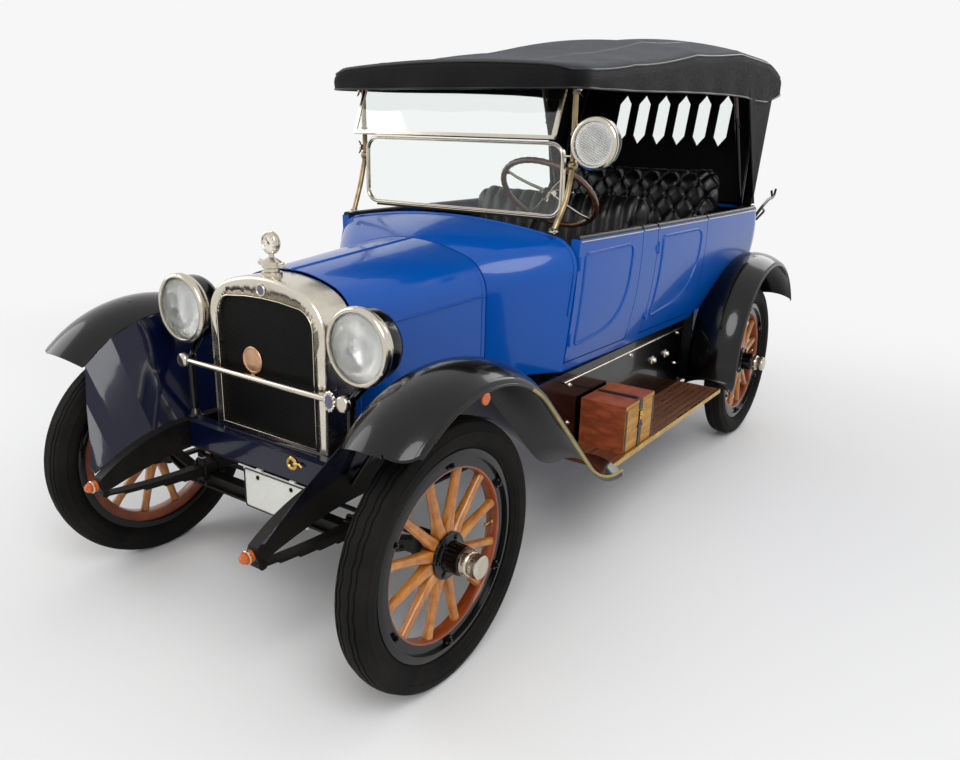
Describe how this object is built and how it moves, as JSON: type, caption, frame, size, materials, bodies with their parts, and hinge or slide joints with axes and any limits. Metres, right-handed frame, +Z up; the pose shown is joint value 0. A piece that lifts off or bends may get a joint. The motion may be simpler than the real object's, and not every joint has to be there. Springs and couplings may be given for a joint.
{
  "type": "1920s touring car",
  "caption": "Open four-door touring car with raised folding top, wooden spoked wheels, crowned fenders, running boards, drum headlamps and working steering, doors and bonnet.",
  "frame": {"origin": "on the ground under the middle of the car's overall box", "axes": "+X to the car's left, -Y forwards, +Z up"},
  "size_m": [1.73, 3.8579, 2.141],
  "materials": {
    "chassis_black": "satin black chassis enamel",
    "engine_iron": "painted casting",
    "exhaust_steel": "dull heated steel",
    "nickel": "polished nickel plate",
    "core_black": "matt black",
    "blue_paint": "gloss mid-blue coachwork enamel",
    "black_paint": "gloss black enamel",
    "board_wood": "varnished slats",
    "clear_glass": "clear",
    "top_cloth": "black coated top cloth",
    "bow_wood": "dark varnish",
    "black_leather": "buttoned black leather",
    "amber": "amber lens",
    "plate_white": "blank white enamel",
    "box_wood": "varnished box",
    "wheel_black": "hard black rubber",
    "tyre": "black rubber",
    "spoke_wood": "varnished orange-brown hickory with a black felloe face"
  },
  "bodies": {
    "body": {"body_tub": "blue_paint", "canopy": "top_cloth", "canopy_bows": "bow_wood", "cowl": "blue_paint", "engine_block": "engine_iron", "exhaust": "exhaust_steel", "frame": "chassis_black", "front_aprons": "black_paint", "front_axle": "chassis_black", "front_fenders": "black_paint", "front_seat": "black_leather", "fuel_tank": "chassis_black", "headlamp_lenses": "clear_glass", "headlamps": "nickel", "leaf_springs": "chassis_black", "marker_lamps": "amber", "number_plate": "plate_white", "radiator_cap": "nickel", "radiator_core": "core_black", "radiator_shell": "nickel", "rear_axle": "chassis_black", "rear_fenders": "black_paint", "rear_seat": "black_leather", "running_boards": "board_wood", "spare_carrier": "chassis_black", "spare_tyre": "tyre", "splash_aprons": "black_paint", "spotlight": "black_paint", "steering_column": "chassis_black", "toolbox": "box_wood", "windscreen_frame": "nickel", "windscreen_glass": "clear_glass"},
    "knuckle_left": {"knuckle_left": "chassis_black"},
    "knuckle_right": {"knuckle_right": "chassis_black"},
    "tie_rod": {"tie_rod": "chassis_black"},
    "drag_link": {"drag_link": "chassis_black"},
    "drop_arm": {"drop_arm": "chassis_black"},
    "steering_wheel": {"steering_wheel": "wheel_black"},
    "toolbox_lid": {"toolbox_lid": "box_wood"},
    "bonnet_left": {"bonnet_left": "blue_paint"},
    "bonnet_right": {"bonnet_right": "blue_paint"},
    "wheel_front_left": {"wheel_front_left": "spoke_wood", "tyre_front_left": "tyre"},
    "door_front_left": {"door_front_left": "blue_paint"},
    "wheel_front_right": {"wheel_front_right": "spoke_wood", "tyre_front_right": "tyre"},
    "door_front_right": {"door_front_right": "blue_paint"},
    "wheel_rear_left": {"wheel_rear_left": "spoke_wood", "tyre_rear_left": "tyre"},
    "door_rear_left": {"door_rear_left": "blue_paint"},
    "wheel_rear_right": {"wheel_rear_right": "spoke_wood", "tyre_rear_right": "tyre"},
    "door_rear_right": {"door_rear_right": "blue_paint"}
  },
  "joints": [
    {"name": "steer_left", "type": "hinge", "parent": "body", "child": "knuckle_left", "pos_m": [0.625, -1.451, 0.425], "axis": [0, 0, 1], "range_deg": [-25, 25]},
    {"name": "steer_right", "type": "hinge", "parent": "body", "child": "knuckle_right", "pos_m": [-0.625, -1.451, 0.425], "axis": [0, 0, 1], "range_deg": [-25, 25]},
    {"name": "tie_rod_swivel", "type": "hinge", "parent": "knuckle_left", "child": "tie_rod", "pos_m": [0.625, -1.301, 0.36], "axis": [0, 0, 1], "range_deg": [-25, 25]},
    {"name": "drag_link_swivel", "type": "hinge", "parent": "knuckle_left", "child": "drag_link", "pos_m": [0.45, -1.451, 0.492], "axis": [0, 0, 1], "range_deg": [-25, 25]},
    {"name": "drop_arm_swing", "type": "hinge", "parent": "body", "child": "drop_arm", "pos_m": [0.4, -0.851, 0.585], "axis": [1, 0, 0], "range_deg": [-35, 35]},
    {"name": "steering_wheel_turn", "type": "hinge", "parent": "body", "child": "steering_wheel", "pos_m": [0.31, -0.201, 1.4], "axis": [0, 0.6714, 0.7411], "range_deg": [-225, 225]},
    {"name": "spin_front_left", "type": "hinge", "parent": "knuckle_left", "child": "wheel_front_left", "pos_m": [0.715, -1.451, 0.425], "axis": [1, 0, 0], "continuous": true},
    {"name": "spin_front_right", "type": "hinge", "parent": "knuckle_right", "child": "wheel_front_right", "pos_m": [-0.715, -1.451, 0.425], "axis": [1, 0, 0], "continuous": true},
    {"name": "spin_rear_left", "type": "hinge", "parent": "body", "child": "wheel_rear_left", "pos_m": [0.715, 1.343, 0.425], "axis": [1, 0, 0], "continuous": true},
    {"name": "spin_rear_right", "type": "hinge", "parent": "body", "child": "wheel_rear_right", "pos_m": [-0.715, 1.343, 0.425], "axis": [1, 0, 0], "continuous": true},
    {"name": "door_front_left_open", "type": "hinge", "parent": "body", "child": "door_front_left", "pos_m": [0.6098, -0.471, 1], "axis": [0, 0, 1], "range_deg": [-70, 0]},
    {"name": "door_front_right_open", "type": "hinge", "parent": "body", "child": "door_front_right", "pos_m": [-0.6098, -0.471, 1], "axis": [0, 0, 1], "range_deg": [0, 70]},
    {"name": "door_rear_left_open", "type": "hinge", "parent": "body", "child": "door_rear_left", "pos_m": [0.6444, 0.194, 1], "axis": [0, 0, 1], "range_deg": [-70, 0]},
    {"name": "door_rear_right_open", "type": "hinge", "parent": "body", "child": "door_rear_right", "pos_m": [-0.6444, 0.194, 1], "axis": [0, 0, 1], "range_deg": [0, 70]},
    {"name": "bonnet_left_open", "type": "hinge", "parent": "body", "child": "bonnet_left", "pos_m": [0, -1.343, 1.19], "axis": [0, 0.997, 0.0777], "range_deg": [-80, 0]},
    {"name": "bonnet_right_open", "type": "hinge", "parent": "body", "child": "bonnet_right", "pos_m": [0, -1.343, 1.19], "axis": [0, 0.997, 0.0777], "range_deg": [0, 80]},
    {"name": "toolbox_lid_open", "type": "hinge", "parent": "body", "child": "toolbox_lid", "pos_m": [0.592, -0.206, 0.606], "axis": [0, 1, 0], "range_deg": [-80, 0]}
  ],
  "couplings": [
    {"joint": "steer_right", "follows": "steer_left", "ratio": 1},
    {"joint": "tie_rod_swivel", "follows": "steer_left", "ratio": -1},
    {"joint": "drag_link_swivel", "follows": "steer_left", "ratio": -1},
    {"joint": "drop_arm_swing", "follows": "steer_left", "ratio": -1.4},
    {"joint": "steering_wheel_turn", "follows": "steer_left", "ratio": 9}
  ]
}
